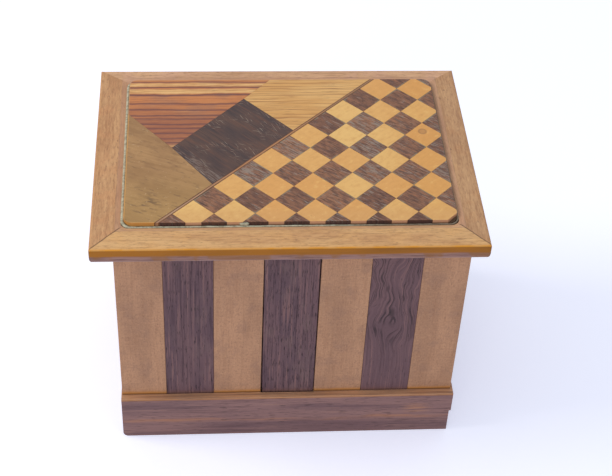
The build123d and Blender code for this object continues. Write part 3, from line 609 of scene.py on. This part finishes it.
def plinth_finish(name, axis):
    f = Finish(name)
    tone = f.cloud(along(axis, 60, 4.5), detail=3)
    streaks = f.cloud(along(axis, 26, 0.62), detail=4, rough=0.65)
    pores = f.between(f.cloud(along(axis, 4.5, 0.34), centre=(2, 2, 6), detail=1), 0.6, 0.72)
    wood = f.mix(f.between(tone, 0.36, 0.66), shade(150, 114, 112), shade(124, 94, 98))
    wood = f.mix(f.between(streaks, 0.5, 0.7) * 0.6, wood, shade(96, 68, 72))
    wood = f.mix(f.between(streaks, 0.45, 0.3) * 0.5, wood, shade(176, 134, 118))
    wood = f.mix(pores * 0.5, wood, shade(74, 52, 56))
    if axis == "x":
        thread = f.near(f.z + (f.cloud((22, 5, 5), detail=2) - 0.5) * 5.0, THREAD_Z, 1.3)
        wood = f.mix(thread * f.between(streaks, 0.62, 0.42) * 0.5, wood, shade(190, 128, 86))
        patch = f.near(f.x, PATCH[0], 7.0) * f.near(f.z, PATCH[1], 3.4) * f.between(streaks, 0.62, 0.4)
        wood = f.mix(patch * 0.8, wood, shade(206, 144, 100))
    # the ledge's top is painted lighter and tan and its arris orange, for the light from above that falls
    # on them
    lit_ledge_top = f.between(f.z, LEDGE_Z - 0.7, LEDGE_Z - 0.1)
    ledge = f.mix(f.between(streaks, 0.36, 0.66), shade(208, 158, 118), shade(160, 120, 92))
    wood = f.mix(lit_ledge_top * 0.85, wood, ledge)
    # painted highlight along the ledge's arris
    ledge_arris_highlight = f.near(f.z + (f.cloud((5, 5, 3), detail=1) - 0.5) * 0.5, LEDGE_Z - 0.5, 0.55)
    wood = f.mix(ledge_arris_highlight * 0.6, wood, shade(186, 124, 66))
    foot = f.between(f.z, 1.6, 0.2)
    wood = f.mix(foot * 0.35, wood, shade(150, 116, 112))
    return f.polish(wood, 0.5 + 0.15 * streaks, streaks * 0.6 - pores * 0.7, 0.12, coat=0.05)


# ---- inside and fittings ----
def carcass_finish():
    f = Finish("carcass_wood")
    tone = f.cloud((50, 50, 9), detail=3)
    streaks = f.cloud((34, 34, 0.9), detail=4, rough=0.6)
    wood = f.mix(f.between(tone, 0.35, 0.68), shade(206, 166, 122), shade(184, 142, 100))
    wood = f.mix(f.between(streaks, 0.5, 0.7) * 0.5, wood, shade(150, 108, 70))
    corner = f.between(f.z, 9.0, 5.0)
    wood = f.mix(corner * 0.35, wood, shade(120, 86, 58))
    return f.polish(wood, 0.62 + 0.1 * streaks, streaks, 0.07)


def cover_finish():
    f = Finish("cover_wood")
    streaks = f.cloud((24, 4, 0.6), detail=4, rough=0.6)
    wood = f.mix(f.between(streaks, 0.35, 0.68), shade(176, 132, 92), shade(132, 92, 60))
    return f.polish(wood, 0.6 + 0.1 * streaks, streaks, 0.05)


def brass_finish():
    f = Finish("brass")
    tarnish = f.cloud((2.4, 2.4, 2.4), detail=3)
    brushed = f.cloud((9, 0.25, 0.25), centre=(1, 2, 3), detail=2)
    metal = f.mix(f.between(tarnish, 0.3, 0.75), shade(150, 124, 84), shade(112, 90, 62))
    metal = f.mix(f.between(brushed, 0.5, 0.7) * 0.12, metal, shade(176, 152, 110))
    return f.polish(metal, 0.44 + 0.12 * f.between(tarnish, 0.3, 0.75), brushed, 0.02, metallic=1.0)


# ---- which piece gets which finish ----
def dress(finishes):
    for name, node in NODES.items():
        material = finishes(name)
        for slot in node.material_slots:
            slot.material = material


def finish_table():
    rails = {
        "front": rail_finish("rail_wood_front", "x", (222, 176, 120), (204, 154, 104), (226, 174, 112)),
        "right": rail_finish("rail_wood_right", "y", (198, 154, 112), (176, 132, 96), (194, 142, 98)),
        "back": rail_finish("rail_wood_back", "x", (222, 176, 136), (204, 158, 120), (216, 168, 140)),
        "left": rail_finish("rail_wood_left", "y", (206, 158, 112), (188, 138, 96), (204, 146, 100)),
    }
    plinths = {"x": plinth_finish("plinth_wood_across", "x"), "y": plinth_finish("plinth_wood_deep", "y")}
    light = light_stave_finish()
    dark = dark_stave_finish("dark_wood")
    carcass = carcass_finish()
    brass = brass_finish()
    single = {
        "lid_panel": ground_finish(),
        "striped_veneer": striped_finish(),
        "pale_veneer": pale_finish(),
        "dark_veneer": dark_finish(),
        "olive_veneer": olive_finish(),
        "stringing_core": stringing_core_finish(),
        "stringing_lines": stringing_line_finish(),
        "light_squares": light_square_finish(),
        "dark_squares": dark_square_finish(),
        "front_stave_6": knotty_stave_finish(),
        "key_stave": dark_stave_finish("dark_wood_loose", 0.58, 0.12),
        "lock_cover": cover_finish(),
    }

    def pick(name):
        if name in single:
            return single[name]
        if name.startswith("lid_frame_"):
            return rails[name.rsplit("_", 1)[1]]
        if name.startswith("plinth_"):
            return plinths["y" if name.endswith(("left", "right")) else "x"]
        if "_stave_" in name:
            odd = int(name.rsplit("_", 1)[1]) % 2 == 1
            return light if odd == name.startswith(("front", "back")) else dark
        if name.endswith(("_board", "_wall")):
            return carcass
        return brass

    return pick


dress(finish_table())


# ---- dust in the line round the panel ----
GAP_MIDDLE = [(outer + inner) / 2 for outer, inner in zip(OPENING, VENEER_EDGES)]


def dust_and_shade_finish():
    f = Finish("gap_dust_and_shade")
    lumps = f.cloud((1.2, 1.2, 1.2), detail=3)
    dust = f.mix(f.between(lumps, 0.35, 0.65), shade(196, 194, 170), shade(158, 154, 132))
    # pale on the left; darker towards the right, painted shade for the dark open line there; brown at the
    # back
    right = f.between(f.x, VENEER_X0 + 60.0, VENEER_X1 - 20.0)
    # painted shade: the bead darkens towards the right
    dust = f.mix(right * 0.75, dust, shade(112, 92, 76))
    back = f.between(f.y, VENEER_Y1 - 1.5, VENEER_Y1 + 0.2)
    dust = f.mix(back * 0.85, dust, shade(146, 104, 76))
    return f.polish(dust, 0.9 + 0.05 * lumps, lumps, 0.1)


DUST_SIZES = {      # millimetres
    "Width": GAP_MIDDLE[1] - GAP_MIDDLE[0],
    "Depth": GAP_MIDDLE[3] - GAP_MIDDLE[2],
    "Corner": 3.2,                 # radius of the line's corners
    "Height": LID_TOP - 0.6,       # of the bead's middle
    "Thick": 0.6,                  # the bead's radius in the wide left gap
    "Thin": 0.32,                  # and in the others
    "Fade": 5.0,                   # length over which it thins
    "Lump": 0.35,                  # how far it wanders up and down
    "Step": 0.7,                   # between its points
}
DUST_LUMPS_PER_METRE = 500.0
DUST_SIDES = 8
CORNER_STEPS = 6


def dust_tree(material):
    """A thin uneven bead that follows the open line round the panel."""
    tree = bpy.data.node_groups.new("gap_dust_bead", "GeometryNodeTree")
    for name, value in DUST_SIZES.items():
        socket = tree.interface.new_socket(name, in_out="INPUT", socket_type="NodeSocketFloat")
        socket.default_value = value * MM
    tree.interface.new_socket("Geometry", in_out="OUTPUT", socket_type="NodeSocketGeometry")

    def add(kind, settings=None, links=None):
        node = tree.nodes.new(kind)
        for name, value in (settings or {}).items():
            setattr(node, name, value)
        for key, value in (links or {}).items():
            if isinstance(value, bpy.types.NodeSocket):
                tree.links.new(value, node.inputs[key])
            else:
                node.inputs[key].default_value = value
        return node

    given = add("NodeGroupInput").outputs
    outline = add("GeometryNodeCurvePrimitiveQuadrilateral", {}, {
        "Width": given["Width"], "Height": given["Depth"]})
    rounded = add("GeometryNodeFilletCurve", {"mode": "POLY"}, {
        "Curve": outline.outputs[0], "Count": CORNER_STEPS, "Radius": given["Corner"],
        "Limit Radius": True})
    centre = add("ShaderNodeCombineXYZ", {}, {
        "X": (GAP_MIDDLE[0] + GAP_MIDDLE[1]) / 2 * MM, "Y": (GAP_MIDDLE[2] + GAP_MIDDLE[3]) / 2 * MM,
        "Z": given["Height"]})
    placed = add("GeometryNodeTransform", {}, {
        "Geometry": rounded.outputs[0], "Translation": centre.outputs[0]})
    even = add("GeometryNodeResampleCurve", {"mode": "LENGTH"}, {
        "Curve": placed.outputs[0], "Length": given["Step"]})
    lumps = add("ShaderNodeTexNoise", {}, {"Scale": DUST_LUMPS_PER_METRE, "Detail": 2.0})
    swing = add("ShaderNodeMath", {"operation": "SUBTRACT"}, {0: lumps.outputs[0], 1: 0.5})
    rise = add("ShaderNodeMath", {"operation": "MULTIPLY"}, {0: swing.outputs[0], 1: given["Lump"]})
    lift = add("ShaderNodeCombineXYZ", {}, {"Z": rise.outputs[0]})
    uneven = add("GeometryNodeSetPosition", {}, {"Geometry": even.outputs[0], "Offset": lift.outputs[0]})
    # the bead thins away from the left gap
    where = add("ShaderNodeSeparateXYZ", {}, {0: add("GeometryNodeInputPosition").outputs[0]})
    past = add("ShaderNodeMath", {"operation": "SUBTRACT"}, {0: where.outputs[0], 1: VENEER_X0 * MM})
    share = add("ShaderNodeMath", {"operation": "DIVIDE", "use_clamp": True}, {
        0: past.outputs[0], 1: given["Fade"]})
    size = add("ShaderNodeMapRange", {}, {
        "Value": share.outputs[0], "To Min": given["Thick"], "To Max": given["Thin"]})
    ring = add("GeometryNodeCurvePrimitiveCircle", {}, {"Resolution": DUST_SIDES, "Radius": 1.0})
    bead = add("GeometryNodeCurveToMesh", {}, {
        "Curve": uneven.outputs[0], "Profile Curve": ring.outputs[0], "Scale": size.outputs[0]})
    whole = add("GeometryNodeRealizeInstances", {}, {"Geometry": bead.outputs[0]})
    painted = add("GeometryNodeSetMaterial", {}, {"Geometry": whole.outputs[0], "Material": material})
    out = add("NodeGroupOutput")
    tree.links.new(painted.outputs[0], out.inputs[0])
    return tree


def grown(name, tree, material):
    """The tree's result as a plain mesh."""
    seed = add_object(name + "_seed", bpy.data.meshes.new(name + "_seed"))
    seed.modifiers.new("grow", "NODES").node_group = tree
    bpy.context.view_layer.update()
    graph = bpy.context.evaluated_depsgraph_get()
    mesh = bpy.data.meshes.new_from_object(seed.evaluated_get(graph))
    bpy.data.objects.remove(seed)
    mesh.name = name
    made = add_object(name, mesh)
    if not mesh.materials:
        mesh.materials.append(material)
    return made


dust_and_shade_material = dust_and_shade_finish()
gap_dust_and_shade = grown("gap_dust_and_shade", dust_tree(dust_and_shade_material), dust_and_shade_material)
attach(gap_dust_and_shade, "lid")


# ---- a lump of old grey paste on the panel's front edge ----
PASTE = (-15.6, VENEER_Y0 - 0.15, PANEL_TOP - 0.8)      # middle of the lump
PASTE_SIZE = (1.7, 0.5, 0.62)
PASTE_ROUGH = 0.25
PASTE_BUMPS = 1.7


def paste_lump():
    """A ball pressed flat, its surface pushed about by noise."""
    shape = bmesh.new()
    bmesh.ops.create_icosphere(shape, subdivisions=4, radius=1.0)
    for vert in shape.verts:
        push = 1.0 + PASTE_ROUGH * noise.noise(vert.co * PASTE_BUMPS)
        parts = zip(PASTE, vert.co, PASTE_SIZE)
        vert.co = Vector([(middle + side * size * push) * MM for middle, side, size in parts])
    mesh = bpy.data.meshes.new("chip_paste")
    shape.to_mesh(mesh)
    shape.free()
    for face in mesh.polygons:
        face.use_smooth = True
    mesh.materials.append(dust_and_shade_material)
    made = add_object("chip_paste", mesh)
    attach(made, "lid")


paste_lump()


# ---- floor, light, camera ----
FLOOR_REACH = 3.0      # metres each way
FLOOR_PALE, FLOOR_DEEP = (0.90, 0.905, 0.92, 1.0), (0.88, 0.89, 0.92, 1.0)
FLOOR_GLOW, FLOOR_GLOW_POWER = (0.7, 0.75, 1.0, 1.0), 0.44      # lifts the floor as the camera sees it
ROOM_LIGHT, ROOM_POWER = (0.90, 0.93, 1.0, 1.0), 0.62
BACKDROP = (0.985, 0.99, 1.0, 1.0)      # what the camera and reflections see past the floor


def floor():
    f = Finish("floor")
    tone = f.cloud((400, 400, 400), detail=2)
    colour = f.mix(f.between(tone, 0.3, 0.7), FLOOR_PALE, FLOOR_DEEP)
    sheet = f.node("ShaderNodeBsdfDiffuse", {}, {"Color": colour})
    shine = f.node("ShaderNodeEmission", {}, {"Color": FLOOR_GLOW, "Strength": FLOOR_GLOW_POWER})
    both = f.node("ShaderNodeAddShader", {}, {0: sheet, 1: shine})
    path = f.node("ShaderNodeLightPath", output="Is Camera Ray")
    seen = f.node("ShaderNodeMixShader", {}, {0: path, 1: sheet, 2: both})
    f.node("ShaderNodeOutputMaterial", {}, {"Surface": seen})
    mesh = bpy.data.meshes.new("floor")
    corners = [(x * FLOOR_REACH, y * FLOOR_REACH, 0) for x, y in ((-1, -1), (1, -1), (1, 1), (-1, 1))]
    mesh.from_pydata(corners, [], [(0, 1, 2, 3)])
    mesh.materials.append(f.material)
    made = add_object("floor", mesh)


def room():
    world = bpy.data.worlds.new("room")
    world.use_nodes = True
    bpy.context.scene.world = world
    nodes, links = world.node_tree.nodes, world.node_tree.links
    nodes.clear()
    rays = nodes.new("ShaderNodeLightPath").outputs
    seen = rays["Is Camera Ray"]
    for kind in ("Is Glossy Ray", "Is Transmission Ray"):
        either = nodes.new("ShaderNodeMath")
        either.operation = "MAXIMUM"
        links.new(seen, either.inputs[0])
        links.new(rays[kind], either.inputs[1])
        seen = either.outputs[0]
    mixed = nodes.new("ShaderNodeMixShader")
    links.new(seen, mixed.inputs[0])
    for number, (colour, power) in enumerate(((ROOM_LIGHT, ROOM_POWER), (BACKDROP, 1.0)), start=1):
        light = nodes.new("ShaderNodeBackground")
        light.inputs["Color"].default_value = colour
        light.inputs["Strength"].default_value = power
        links.new(light.outputs[0], mixed.inputs[number])
    out = nodes.new("ShaderNodeOutputWorld")
    links.new(mixed.outputs[0], out.inputs[0])


LIT_POINT = (0.0, 0.0, 0.05)      # metres: both lamps face it


def lamp(name, place, size, power, colour):
    data = bpy.data.lights.new(name, "AREA")
    data.shape = "DISK"
    data.size = size
    data.energy = power
    data.color = colour
    made = add_object(name, data)
    made.location = place
    made.rotation_euler = (Vector(LIT_POINT) - Vector(place)).to_track_quat("-Z", "Y").to_euler()


CAMERA_PLACE = (-30.10, -398.93, 427.38)
CAMERA_YAW, CAMERA_PITCH, CAMERA_ROLL = 5.660, 42.622, 3.174      # degrees: right, down, anticlockwise
LENS_PIXELS = 1425.96
PHOTO_WIDTH = 612
SENSOR = 36.0      # millimetres across


def camera():
    data = bpy.data.cameras.new("camera")
    data.sensor_fit = "HORIZONTAL"
    data.sensor_width = SENSOR
    data.lens = LENS_PIXELS / PHOTO_WIDTH * SENSOR
    data.clip_start, data.clip_end = 0.02, 20.0
    made = add_object("camera", data)
    heading = Matrix.Rotation(-math.radians(CAMERA_YAW), 4, "Z")
    tilt = Matrix.Rotation(math.pi / 2 - math.radians(CAMERA_PITCH), 4, "X")
    roll = Matrix.Rotation(math.radians(CAMERA_ROLL), 4, "Z")
    place = Matrix.Translation([value * MM for value in CAMERA_PLACE])
    made.matrix_world = place @ heading @ tilt @ roll
    bpy.context.scene.camera = made


floor()
room()
lamp("window", place=(-0.85, 0.05, 0.80), size=0.55, power=5.0, colour=(1.0, 0.965, 0.90))
lamp("front_fill", place=(-0.25, -1.1, 0.65), size=0.7, power=2.0, colour=(1.0, 0.98, 0.96))
camera()
bpy.context.scene.view_settings.view_transform = "Standard"
